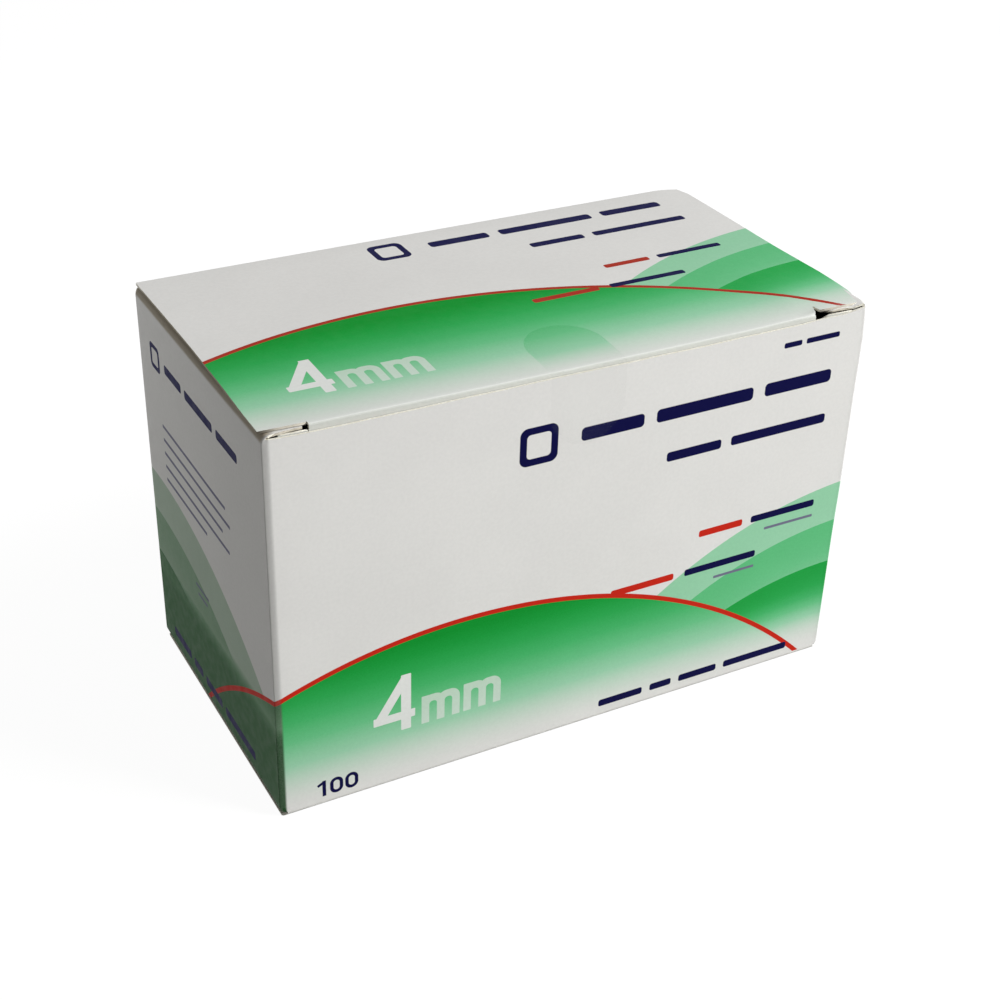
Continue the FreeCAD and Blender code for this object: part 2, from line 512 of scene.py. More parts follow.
def flap_place(closure, column, row):
    """(x, y, drop, distance along the board, fold, turn) of a row of a dust flap."""
    side = column.side
    wall_x = left + bead if side < 0 else right - bead
    radius, level = fold_shape(closure, side, column.y)
    straight = fold_start - level - radius
    total = straight + radius * math.pi / 2
    along = total * min(row, fold_steps) / fold_steps
    turn = max(0.0, along - straight) / radius
    inward = radius * (1 - math.cos(turn))
    drop = fold_start - along if turn == 0 else level + radius * (1 - math.sin(turn))
    settle = smooth(end_steps, fold_steps, row)
    inset = abs(column.x - wall_x) * (1 - settle)
    if row > fold_steps:
        inward = flap_reaches[row - fold_steps - 1]
        along += inward - radius
    x = wall_x - side * (inset + inward)
    front_reach = flap_front + climb(flap_front_steps, inward)
    front_reach += shoulder_height * smooth(*shoulders[side], inward)
    reach = min(max(closure.reach(column.y), front_reach), depth - 2 * bead - dust_flap_back)
    y = mix(column.y, closure.place(x, reach, 0)[1], settle)
    if row > fold_steps:
        reach = closure.reach(y)
        roof = closure.sag(x, reach) + board + under_panel
        drop = max(level + (inward - radius) * dust_flap_slope, roof)
        slit = closure.slits[side] + closure.drifts[0]
        pressed = closure.sag(slit - side * pressed_from, roll_start) + board + 2 * under_panel
        share = smooth(*pressed_span, side * (x - slit)) * math.exp(-reach / pressed_fade)
        drop = mix(drop, max(drop, pressed), share)
    fold = max(column.fold * (1 - settle), math.sin(math.pi * min(1.0, row / fold_steps)))
    return x, y, drop, along, end_fold_wear * fold, turn


def add_dust_flap(sheet, closure, columns):
    """A side wall rolling over into its dust flap."""
    def at(column, row):
        if row == 0:
            return wall_point(sheet, column, closure.fold_z)
        x, y, drop, along, fold, turn = flap_place(closure, column, row)
        # Painted shade on the lid's left dust flap, growing from the start of its fold, where the lid's
        # edge overhangs it; it eases off at the front corner
        painted_shade = 0.0
        if closure is lid and column.side < 0 and row <= fold_steps:
            painted_shade = smooth(0.0, flap_painted_shade_turn, turn)
            if column.y < 0:
                painted_shade *= 1 - column.follow
        z = closure.level(drop)
        wall_print = (column.blank, closure.fold_z + closure.sign * along)
        name = ("flap", closure.hinge, column.number, row)
        return sheet.point(name, (x, y, z), wall_print, (x, depth), fold, painted_shade)

    for first, second in zip(columns, columns[1:]):
        for row in range(fold_steps + len(flap_reaches)):
            sheet.face(at, first, second, row, row + 1, WALL, closure.turned)


def panel_rows(closure):
    """Rows up the hinge wall, over the panel and the folded edge, and down the tuck flap.

    Each is a kind and a value: the step up the wall, the turn in a hinge or roll row,
    the distance from the free wall in a panel row, and the depth in a tuck row."""
    rows = [("rise", step) for step in range(end_steps + 1)]
    rows += [("hinge", math.pi / 2 * step / hinge_steps) for step in range(hinge_steps + 1)]
    marks = [*closure.cuts.values(), 2.6, 4.2, 6.0, 8.0, 11.0, 15.0]
    across = stations(roll_start, depth - 2 * bead - closure.hinge_radius, 4.5, marks)
    across.reverse()
    rows += [("panel", reach) for reach in across[1:]]
    rows += [("roll", math.pi / 2 * (step + 1) / hinge_steps) for step in range(hinge_steps)]
    rows += [("tuck", drop) for drop in (tuck_shoulder, 2.5, 5.0, 9.0, tuck_length)]
    return rows


def panel_place(closure, x, row):
    """(x, distance from the free wall, drop, distance along the board, fold) of a row."""
    kind, value = row
    hinge_plane = depth - 2 * bead
    radius = closure.hinge_radius
    if kind == "hinge":
        reach = hinge_plane - radius * (1 - math.cos(value))
        drop = radius * (1 - math.sin(value))
        return x, reach, drop, depth - radius * value, end_fold_wear * math.sin(2 * value)
    if kind == "panel":
        to_hinge = hinge_plane - radius - value
        ease = smooth(0.0, 8.0, to_hinge)
        x += closure.shift(value) * smooth(0.0, 3.0, to_hinge)
        # Whitened crest of the folded front edge: worn print and a painted highlight
        crest = lip_wear_and_highlight * math.exp(-(value - roll_start) / 0.5)
        return x, value, closure.sag(x, value) * ease, value, crest
    x += closure.drifts[0]
    level = closure.sag(x, roll_start)
    if kind == "roll":
        reach = roll_start - roll_radius * math.sin(value)
        drop = level + roll_radius * (1 - math.cos(value))
        # The roll is whitened at its crest, worn print and a painted highlight, fading down its face
        return x, reach, drop, roll_start - roll_radius * value, lip_wear_and_highlight * smooth(0.9, 0.1, value)
    inside = max(-tuck_half, min(tuck_half, x))
    drop = value + level * (1 - smooth(tuck_shoulder, 5.0, value))
    lean = tuck_lean * (value - tuck_shoulder)
    return inside, tuck_front + lean, drop, tuck_front - value, 0.0


def add_panel(sheet, closure, columns, finish):
    """Lid or base panel with its hinge, folded edge, slits, ears and tuck flap."""
    rows = panel_rows(closure)
    last_panel = max(index for index, row in enumerate(rows) if row[0] == "panel")
    first_tuck = min(index for index, row in enumerate(rows) if row[0] == "tuck")
    slit_sides = {round(slit, 6): side for side, slit in closure.slits.items()}
    ends = {columns[0].number, columns[-1].number}

    def at(column, index, outer):
        kind, value = rows[index]
        if kind == "rise":
            return end_point(sheet, closure, column, value)
        x = column.x
        at_end = column.number in ends
        if at_end:
            edge = closure.edges[column.side]
            if kind == "hinge":
                x = mix(x, trace(edge, depth), smooth(0.0, math.pi / 2, value))
            else:
                reach = value if kind == "panel" else 0.0
                x = trace(edge, reach) - closure.shift(reach)
        x, reach, drop, along, fold = panel_place(closure, x, rows[index])
        side = slit_sides.get(round(column.x, 6), 0)
        cut = closure.cuts.get(side)
        torn = False
        if side and (kind in ("roll", "tuck") or kind == "panel" and value < cut - 1e-6):
            share = (value - roll_start) / (cut - roll_start) if kind == "panel" else 0.0
            opened = closure.gapes[side] if outer else -closure.pulls[side]
            x += side * opened * (1 - share)
            torn = outer
        # Painted shade: half on the ears' raw front edges, for the shadow line under each ear, and full
        # on the lid's left raw edge, which lies in shade
        painted_shade = 0.0
        if index == last_panel and outer:
            reach = ear_front
            painted_shade = 0.5
        if closure is lid and kind == "panel" and at_end and column.side < 0:
            painted_shade = 1.0
        name = ("panel", closure.hinge, column.number, index, torn)
        place = closure.place(x, reach, drop)
        wall_z = top_z + along - depth if closure is lid else floor_z
        return sheet.point(name, place, (column.blank, wall_z), (x, along), max(fold, 0.0), painted_shade)

    for first, second in zip(columns, columns[1:]):
        middle = (first.x + second.x) / 2
        outer = middle < closure.slits[-1] or middle > closure.slits[1]
        for index in range(len(rows) - 1):
            if outer and last_panel <= index < first_tuck:
                continue
            look = WALL if rows[index + 1][0] == "rise" else finish
            sheet.face(
                lambda column, row: at(column, row, outer),
                first, second, index, index + 1, look, closure.turned,
            )


def folded_sheet():
    """The whole outer face of the carton's board."""
    columns = wall_columns()
    sheet = Sheet()
    add_walls(sheet, columns)
    cuts = [column.number for column in columns if column.cut]
    back_left, front_left, front_right, back_right = cuts
    runs = {
        "back": columns[: back_left + 1],
        "left": columns[back_left : front_left + 1],
        "front": columns[front_left : front_right + 1],
        "right": columns[front_right : back_right + 1],
        "glue": columns[back_right:],
    }
    for closure, finish in ((lid, LID), (base, BASE)):
        add_dust_flap(sheet, closure, runs["left"])
        add_dust_flap(sheet, closure, runs["right"])
        add_plain_end(sheet, closure, runs[closure.free])
        add_plain_end(sheet, closure, runs["glue"])
        hinge = runs[closure.hinge]
        held = [
            index for index, column in enumerate(hinge)
            if not column.follow and abs(column.x) <= panel_half
        ]
        add_panel(sheet, closure, hinge[held[0] : held[-1] + 1], finish)
        add_plain_end(sheet, closure, hinge[: held[0] + 1])
        add_plain_end(sheet, closure, hinge[held[-1] :])
    return sheet


def thicken(sheet, name, thickness, inside, raw):
    """A closed mesh of the sheet: outer face, inner face and raw edges all round."""
    normals = [Vector((0, 0, 0)) for _ in sheet.points]
    for face in sheet.faces:
        a, b, c, d = (sheet.points[corner] for corner in face)
        normal = (c - a).cross(d - b).normalized()
        for corner in face:
            normals[corner] += normal
    count = len(sheet.points)
    outer = [point * MM for point in sheet.points]
    inner = [(p - n.normalized() * thickness) * MM for p, n in zip(sheet.points, normals)]
    faces = list(sheet.faces)
    finishes = list(sheet.finishes)
    directed = set()
    for face in sheet.faces:
        faces.append(tuple(corner + count for corner in reversed(face)))
        finishes.append(inside)
        directed.update(zip(face, face[1:] + face[:1]))
    rims = sorted((a, b) for a, b in directed if (b, a) not in directed)
    for a, b in rims:
        faces.append((b, a, a + count, b + count))
        finishes.append(raw)
    mesh = bpy.data.meshes.new(name)
    mesh.from_pydata(outer + inner, [], faces)
    mesh.polygons.foreach_set("material_index", finishes)
    mesh.polygons.foreach_set("use_smooth", [True] * len(faces))
    sharp = {frozenset(pair) for a, b in rims for pair in ((a, b), (a + count, b + count))}
    for edge in mesh.edges:
        edge.use_edge_sharp = frozenset(edge.vertices) in sharp
    wall_print, lid_print, folds, painted_shades = zip(*sheet.notes)
    for label, values in (("wall_print", wall_print), ("lid_print", lid_print)):
        attribute = mesh.attributes.new(label, "FLOAT_VECTOR", "POINT")
        attribute.data.foreach_set("vector", [part for x, y in values * 2 for part in (x, y, 0.0)])
    # Fold whitening and painted shade, the same on the outer and inner faces
    for label, values in (("fold", folds), ("painted_shade", painted_shades)):
        attribute = mesh.attributes.new(label, "FLOAT", "POINT")
        attribute.data.foreach_set("value", values * 2)
    mesh.validate()
    mesh.update()
    return mesh


# Seal: a clear round-ended film over the lid's front edge

film_lift = 0.05
film_thickness = 0.06
film_steps = 24
film_wide_steps = 32
film_turn = math.radians(50)
film_turn_steps = 5
film_least_end = 0.02


def film_path(x):
    """Points (reach, drop) of the film from its end on the lid to its end on the wall."""
    path = []
    for step in range(film_steps):
        reach = mix(seal_reach, roll_start, step / film_steps)
        path.append((reach, lid.sag(x, reach) - film_lift))
    crest = lid.sag(x, roll_start) + roll_radius
    radius = roll_radius + film_lift
    for step in range(film_turn_steps + 1):
        turn = film_turn * step / film_turn_steps
        path.append((roll_start - radius * math.sin(turn), crest - radius * math.cos(turn)))
    wall_edge = free_edge(lid, x)
    for step in range(film_steps + 1):
        drop = mix(wall_edge, seal_drop, step / film_steps)
        column = Column(x, front + bead, x - left, "front")
        path.append((-wall_bow(column, top_z - drop) - film_lift, drop))
    return path


def make_seal():
    """The film, standing for its CAD node."""
    path = film_path(seal_middle)
    lengths = [0.0]
    for (reach, drop), (next_reach, next_drop) in zip(path, path[1:]):
        lengths.append(lengths[-1] + math.hypot(next_reach - reach, next_drop - drop))
    sheet = Sheet()

    def at(across, row):
        end = max(film_least_end, min(lengths[row], lengths[-1] - lengths[row]))
        inside = max(0.0, seal_half - end)
        half = math.sqrt(seal_half ** 2 - inside ** 2)
        x = seal_middle + half * math.sin(math.pi * (across / film_wide_steps - 0.5))
        reach, drop = film_path(x)[row]
        name = (across, row)
        return sheet.point(name, lid.place(x, reach, drop), (x, lengths[row]), (x, lengths[row]))

    for row in range(len(path) - 1):
        for across in range(film_wide_steps):
            sheet.face(at, across + 1, across, row, row + 1, 0)
    film = show(thicken(sheet, "clear_film", film_thickness, 0, 0), "clear_film")
    film.data.materials.append(clear_film())
    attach(film, "root")
    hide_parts("clear_seal")


def show(mesh, name):
    """An object in the scene that holds this mesh."""
    thing = bpy.data.objects.new(name, mesh)
    bpy.context.scene.collection.objects.link(thing)
    return thing


# Materials


def srgb(red, green, blue):
    """Linear colour of an sRGB one given from 0 to 255."""
    def channel(value):
        value /= 255
        return value / 12.92 if value <= 0.04045 else ((value + 0.055) / 1.055) ** 2.4
    return channel(red), channel(green), channel(blue), 1.0


board_white = srgb(224, 223, 220)
green_ink = srgb(16, 142, 46)
# A darker, greyer copy of the green ink: painted shade on the narrow walls
painted_shade_green_ink = srgb(46, 86, 50)
lid_red_ink = srgb(168, 52, 38)
red_ink = srgb(196, 40, 26)
navy_ink = srgb(12, 12, 62)
grey_ink = srgb(112, 112, 134)
numeral_white = srgb(226, 228, 224)
raw_board = srgb(233, 231, 221)
raw_board_dark = srgb(220, 216, 202)
# Painted shade on the lid's folded front edge, below its lip
painted_lip_shade = srgb(160, 166, 152)
inner_board = srgb(196, 190, 176)
inner_board_dark = srgb(174, 167, 152)
# Painted shade: a darker, browner board colour laid where shade falls under the lid's left edge and on
# raw edges in shade
painted_shade_board = srgb(166, 157, 141)
film_tone = srgb(150, 158, 150)
film_tone_pale = srgb(184, 190, 184)
film_alpha = 0.02

edge_blur = 0.06


class Nodes:
    """Short ways to add shader nodes to one tree."""

    def __init__(self, tree):
        self.tree = tree

    def add(self, kind, **settings):
        node = self.tree.nodes.new(kind)
        for name, value in settings.items():
            setattr(node, name, value)
        return node

    def plug(self, value, socket):
        """Links a socket, or sets a number or vector on it."""
        if isinstance(value, bpy.types.NodeSocket):
            self.tree.links.new(value, socket)
        elif value is not None:
            socket.default_value = value

    def fill(self, node, values):
        """Plugs values into a node's sockets by name or number."""
        for label, value in values.items():
            self.plug(value, node.inputs[label])

    def feed(self, node, *values):
        """Plugs values into a node's first sockets, and gives its first output."""
        for socket, value in zip(node.inputs, values):
            self.plug(value, socket)
        return node.outputs[0]

    def math(self, operation, first, second=None, clamp=False):
        node = self.add("ShaderNodeMath", operation=operation, use_clamp=clamp)
        return self.feed(node, first, second)

    def vector(self, operation, first, second=None):
        node = self.add("ShaderNodeVectorMath", operation=operation)
        result = self.feed(node, first, second)
        return node.outputs["Value"] if operation == "LENGTH" else result

    def split(self, place):
        """X and Y of a vector."""
        node = self.add("ShaderNodeSeparateXYZ")
        return self.feed(node, place), node.outputs[1]

    def ramp(self, value, low, high, start=0.0, stop=1.0, kind="SMOOTHSTEP"):
        node = self.add("ShaderNodeMapRange", interpolation_type=kind)
        return self.feed(node, value, low, high, start, stop)

    def colour(self, share, first, second):
        node = self.add("ShaderNodeMix", data_type="RGBA")
        self.fill(node, {0: share, 6: first, 7: second})
        return node.outputs[2]

    def noise(self, place, scale, detail=2.0, stretch=None):
        if stretch:
            place = self.vector("MULTIPLY", place, stretch)
        node = self.add("ShaderNodeTexNoise", noise_dimensions="3D")
        self.fill(node, {"Vector": place, "Scale": scale, "Detail": detail})
        return node.outputs[0]

    def attribute(self, name, output="Fac"):
        return self.add("ShaderNodeAttribute", attribute_name=name).outputs[output]

    def bump(self, height, strength, distance):
        node = self.add("ShaderNodeBump")
        self.fill(node, {"Strength": strength, "Distance": distance, "Height": height})
        return node.outputs[0]

    def object_place(self):
        return self.add("ShaderNodeTexCoord").outputs["Object"]


def bar_group():
    """Group that masks a rounded bar, turned about its middle, in millimetres of the print."""
    group = bpy.data.node_groups.new("rounded_bar", "ShaderNodeTree")
    for label in ("Place", "Centre", "Half"):
        group.interface.new_socket(label, in_out="INPUT", socket_type="NodeSocketVector")
    for label in ("Corner", "Angle"):
        group.interface.new_socket(label, in_out="INPUT", socket_type="NodeSocketFloat")
    group.interface.new_socket("Mask", in_out="OUTPUT", socket_type="NodeSocketFloat")
    nodes = Nodes(group)
    place, centre, half, corner, angle = nodes.add("NodeGroupInput").outputs[:5]
    turn = nodes.add("ShaderNodeVectorRotate", rotation_type="Z_AXIS")
    nodes.fill(turn, {"Vector": place, "Center": centre, "Angle": angle})
    away = nodes.vector("ABSOLUTE", nodes.vector("SUBTRACT", turn.outputs[0], centre))
    away = nodes.vector("MAXIMUM", nodes.vector("SUBTRACT", away, half), (0.0, 0.0, 0.0))
    gap = nodes.math("SUBTRACT", nodes.vector("LENGTH", away), corner)
    result = nodes.add("NodeGroupOutput")
    nodes.plug(nodes.ramp(gap, edge_blur, -edge_blur), result.inputs[0])
    return group


rounded_bar = bar_group()


class Print(Nodes):
    """Inks laid over the board, in millimetres of one printed panel."""

    def __init__(self, tree, place):
        super().__init__(tree)
        self.place = place
        self.colour_now = board_white

    def bar(self, low_x, low_y, high_x, high_y, corner, angle=0.0):
        """Mask of a rounded bar between two corners, turned about its middle."""
        node = self.add("ShaderNodeGroup", node_tree=rounded_bar)
        self.fill(node, {
            "Place": self.place,
            "Centre": ((low_x + high_x) / 2, (low_y + high_y) / 2, 0.0),
            "Half": ((high_x - low_x) / 2 - corner, (high_y - low_y) / 2 - corner, 1.0),
            "Corner": corner,
            "Angle": angle,
        })
        return node.outputs[0]

    def stroke(self, x1, y1, x2, y2, weight):
        """Mask of a square-ended pen stroke from one point to the other."""
        long = math.hypot(x2 - x1, y2 - y1) / 2
        x, y = (x1 + x2) / 2, (y1 + y2) / 2
        angle = -math.atan2(y2 - y1, x2 - x1)
        half = weight / 2
        return self.bar(x - long, y - half, x + long, y + half, weight * 0.12, angle)

    def ring(self, low_x, low_y, high_x, high_y, weight, corner, hole_corner):
        """Mask of a rounded frame as thick as weight."""
        outer = self.bar(low_x, low_y, high_x, high_y, corner)
        inner = (low_x + weight, low_y + weight, high_x - weight, high_y - weight)
        hole = self.math("SUBTRACT", 1.0, self.bar(*inner, hole_corner))
        return self.math("MULTIPLY", outer, hole)

    def tile(self, x, y, half, weight):
        """Mask of a plain square frame with round corners."""
        return self.ring(x - half, y - half, x + half, y + half, weight, half * 0.4, half * 0.2)

    def either(self, masks):
        """Union of masks."""
        total = masks[0]
        for mask in masks[1:]:
            total = self.math("MAXIMUM", total, mask)
        return total

    def lay(self, mask, colour):
        """Lays one ink over what is printed so far."""
        self.colour_now = self.colour(mask, self.colour_now, colour)

    def screen(self, density, ink_colour):
        """Colour of an ink that covers the board by this density, from pale to full."""
        node = self.add("ShaderNodeValToRGB")
        self.plug(density, node.inputs[0])
        stops = node.color_ramp.elements
        while len(stops) < screen_steps + 1:
            stops.new(0.5)
        for step, stop in enumerate(stops):
            stop.position = step / screen_steps
            stop.color = [b * (i / b) ** stop.position for b, i in zip(board_white, ink_colour)]
        return node.outputs[0]


def numeral_four(ink, x, y, wide, high):
    """Plain figure four that stands in the given box."""
    weight = wide * 0.24
    stem = x + wide * 0.66
    crossbar = y + high * 0.27
    return [
        ink.bar(stem, y, stem + weight, y + high, weight * 0.1),
        ink.bar(x, crossbar - weight * 0.45, x + wide, crossbar + weight * 0.45, weight * 0.1),
        ink.stroke(
            x + weight * 0.5, crossbar - weight * 0.1,
            stem + weight * 0.5, y + high - weight * 0.35, weight * 0.95,
        ),
    ]


def numeral_one(ink, x, y, wide, high):
    """Plain figure one: a stem and a short flag."""
    weight = wide * 0.3
    stem = x + wide * 0.5
    return [
        ink.bar(stem, y, stem + weight, y + high, weight * 0.1),
        ink.stroke(
            x + wide * 0.12, y + high * 0.72,
            stem + weight * 0.6, y + high - weight * 0.4, weight * 0.85,
        ),
    ]


def numeral_nought(ink, x, y, wide, high):
    """Plain figure nought: an upright oval ring."""
    weight = wide * 0.27
    hole_corner = (wide / 2 - weight) * 0.99
    return [ink.ring(x, y, x + wide, y + high, weight, wide * 0.499, hole_corner)]


def letter_m(ink, x, y, wide, high):
    """Unit letter: two arches on three stems, cut off level at the line it stands on."""
    weight = wide * 0.2
    arch = (wide + weight) / 2
    deep = y - high
    masks = []
    hole_corner = (arch / 2 - weight) * 0.9
    for start in (x, x + wide - arch):
        masks.append(ink.ring(start, deep, start + arch, y + high, weight, arch * 0.42, hole_corner))
    masks.append(ink.bar(x, deep, x + weight, y + high, weight * 0.1))
    clip = ink.bar(x - 1, y, x + wide + 1, y + high + 1, 0.01)
    return ink.math("MULTIPLY", ink.either(masks), clip)


def four_millimetres(ink, x, y, wide):
    """The figure and its unit, as wide as given."""
    tall = wide * 0.48
    masks = numeral_four(ink, x, y, wide * 0.32, tall)
    masks += [letter_m(ink, x + wide * share, y, wide * 0.3, tall * 0.5) for share in (0.37, 0.7)]
    return ink.either(masks)


def word_bars(ink, rows):
    """Mask of plain bars in rows, where words would stand."""
    masks = []
    for x, y, lengths, tall, space in rows:
        for length in lengths:
            masks.append(ink.bar(x, y, x + length, y + tall, tall * 0.3))
            x += length + space
    return ink.either(masks)


# Print. Low hills drawn as circle arcs: a strong green one with a red rim, and paler
# ones layered behind it. Their ink thins out towards the foot of the panel.

rim_width = 1.0
fade_power = 1.6
pale_foot = 16.0
seal_deepens = 0.07
# Across the fold to a narrow wall the green turns to a darker copy, painted shade, densest at the foot
narrow_wall_fold = (1.35, 0.75)
painted_foot_shade_density = 0.92
# Strength of the painted shade on the lid's folded front edge
painted_lip_shade_share = 0.3
screen_steps = 6

# Rows of bars, each as (x, y, bar lengths, height, space)

wall_navy = [
    (59.0, 64.2, (13, 21, 15), 2.7, 2.6),
    (77.5, 55.4, (12, 21.5), 2.0, 2.2),
    (101.5, 73.4, (4, 7.5), 1.1, 1.0),
    (98.5, 36.6, (15,), 1.5, 1.0),
    (84.0, 28.4, (16.5,), 1.5, 1.0),
    (66.5, 2.7, (10, 5, 9, 15.5), 1.6, 1.8),
    (-49.0, 67.6, (9, 14, 10), 1.9, 1.8),
    (-57.0, 4.4, (10, 5, 9, 15.5), 2.0, 1.8),
]
wall_red = [(86.5, 36.6, (10,), 1.5, 1.0), (67.5, 28.4, (14,), 1.5, 1.0)]
wall_grey = [
    (102.0, 34.1, (11.5,), 0.6, 0.5),
    (91.0, 25.9, (9.5,), 0.6, 0.5),
    (-40.0, 27.0, (7,), 0.6, 0.5),
    (-39.0, 25.2, (5,), 0.6, 0.5),
]
for line, long in enumerate((33, 35, 31, 34, 22)):
    wall_grey.append((-53.0, 54.5 - line * 2.9, (long,), 0.7, 0.5))
lid_navy = [
    (57.0, 55.8, (13, 21, 14), 2.5, 2.5),
    (75.0, 47.6, (12, 21.5), 2.0, 2.2),
    (95.0, 33.1, (14.5,), 1.5, 1.0),
    (79.5, 25.1, (16.5,), 1.5, 1.0),
]
lid_red = [(83.0, 33.1, (10,), 1.5, 1.0), (63.0, 25.1, (14,), 1.5, 1.0)]


def arc_gap(ink, x, crest, radius):
    """Distance outside a circle whose top stands at this crest."""
    away = ink.vector("SUBTRACT", ink.place, (x, crest - radius, 0.0))
    return ink.math("SUBTRACT", ink.vector("LENGTH", away), radius)


def hills(ink, strong, pale, foot, span, rim_ink, deepen=None, narrow_walls=False):
    """Lays the strong hill with its rim over the pale hills, all thinning out to the foot.

    A hill is (x, crest, radius), and a pale one adds its density at the crest. On the narrow
    walls the green turns to a darker copy, painted shade, that grows denser towards the foot."""
    along, rise = ink.split(ink.place)
    density = None
    for x, crest, radius, peak in pale:
        gap = arc_gap(ink, x, crest, radius)
        fade = ink.ramp(gap, 0.0, -crest * 0.8, peak, peak * 0.3)
        layer = ink.math("MULTIPLY", ink.ramp(gap, edge_blur, -edge_blur), fade)
        density = layer if density is None else ink.math("MAXIMUM", density, layer)
    density = ink.math("MULTIPLY", density, ink.ramp(rise, foot, foot + pale_foot))
    gap = arc_gap(ink, *strong)
    thinned = ink.math("DIVIDE", ink.math("SUBTRACT", rise, foot), span, clamp=True)
    thinned = ink.math("POWER", thinned, fade_power)
    if deepen is not None:
        more = ink.math("MULTIPLY", deepen, ink.ramp(rise, 0.5, 9.0, 0.0, seal_deepens))
        thinned = ink.math("ADD", thinned, more)
    mixed = ink.add("ShaderNodeMix", data_type="FLOAT")
    ink.fill(mixed, {0: ink.ramp(gap, edge_blur, -edge_blur), 2: density, 3: thinned})
    grain = ink.ramp(ink.noise(ink.place, 3.0, 3.0), 0.3, 0.7, 0.95, 1.0)
    density = ink.math("MULTIPLY", mixed.outputs[0], grain)
    ink.colour_now = ink.screen(density, green_ink)
    # Narrow walls: the green turns to its darker copy, painted shade, denser towards the foot
    if narrow_walls:
        painted_foot_shade = ink.ramp(rise, 25.0, 16.0, 0.0, painted_foot_shade_density)
        deep = ink.screen(ink.math("MAXIMUM", density, painted_foot_shade), painted_shade_green_ink)
        ink.lay(ink.ramp(along, *narrow_wall_fold), deep)
    rim = ink.ramp(ink.math("ABSOLUTE", gap), rim_width / 2 + edge_blur, rim_width / 2 - edge_blur)
    ink.lay(rim, rim_ink)


def print_walls(ink):
    """Front and left side, repeated on the back and right side."""
    pale = []
    for x in (127.0, 127.0 - width - depth):
        pale += [(x, 41.0, 86.0, 0.2), (x - 3.0, 32.0, 78.0, 0.4), (x - 7.0, 22.0, 70.0, 0.8)]
    hills(ink, (38.0, 33.0, 107.0), pale, 1.5, 29.5, red_ink, narrow_walls=True)
    ink.lay(four_millimetres(ink, 18.5, 12.0, 26.0), numeral_white)
    count = numeral_one(ink, 7.0, 2.2, 2.4, 3.6)
    for x in (9.7, 12.7):
        count += numeral_nought(ink, x, 2.2, 2.6, 3.6)
    frames = [ink.tile(50.5, 65.5, 3.8, 1.4), ink.tile(-54.2, 68.5, 2.6, 1.0)]
    ink.lay(ink.either([word_bars(ink, wall_navy), *count, *frames]), navy_ink)
    ink.lay(word_bars(ink, wall_red), red_ink)
    ink.lay(word_bars(ink, wall_grey), grey_ink)


def print_lid(ink):
    """The lid, seen with the front edge below, a little deeper green under the seal, and painted shade
    on its folded front edge below the lip.
    """
    pale = [(129.0, 39.0, 86.0, 0.2), (126.0, 30.5, 78.0, 0.4), (122.0, 21.0, 70.0, 0.7)]
    middle = seal_middle - left
    under_seal = ink.bar(
        middle - seal_half, -seal_reach, middle + seal_half, seal_reach, seal_half * 0.999
    )
    hills(ink, (38.0, 34.0, 107.0), pale, -1.5, 31.7, lid_red_ink, under_seal)
    ink.lay(four_millimetres(ink, 9.5, 9.0, 25.5), numeral_white)
    frame_mask = ink.tile(48.5, 57.2, 3.6, 1.3)
    ink.lay(ink.either([word_bars(ink, lid_navy), frame_mask]), navy_ink)
    ink.lay(word_bars(ink, lid_red), lid_red_ink)
    # Painted shade on the folded front edge, which faces a little down in the groove below the lid's lip
    painted_lip_shade_mask = ink.bar(-5.0, -tuck_length, width + 5.0, lip_edge, 0.3)
    ink.lay(ink.math("MULTIPLY", painted_lip_shade_mask, painted_lip_shade_share), painted_lip_shade)


def print_base(ink):
    """Nothing but board, faintly toned so that it isn't one flat colour."""
    toned = ink.ramp(ink.noise(ink.place, 0.08), 0.3, 0.7, 0.0, 0.2)
    ink.colour_now = ink.colour(toned, board_white, raw_board)


def new_material(name):
    """A material with a Principled shader, and helpers for its nodes."""
    material = bpy.data.materials.new(name)
    material.use_nodes = True
    return material, material.node_tree.nodes["Principled BSDF"], Nodes(material.node_tree)


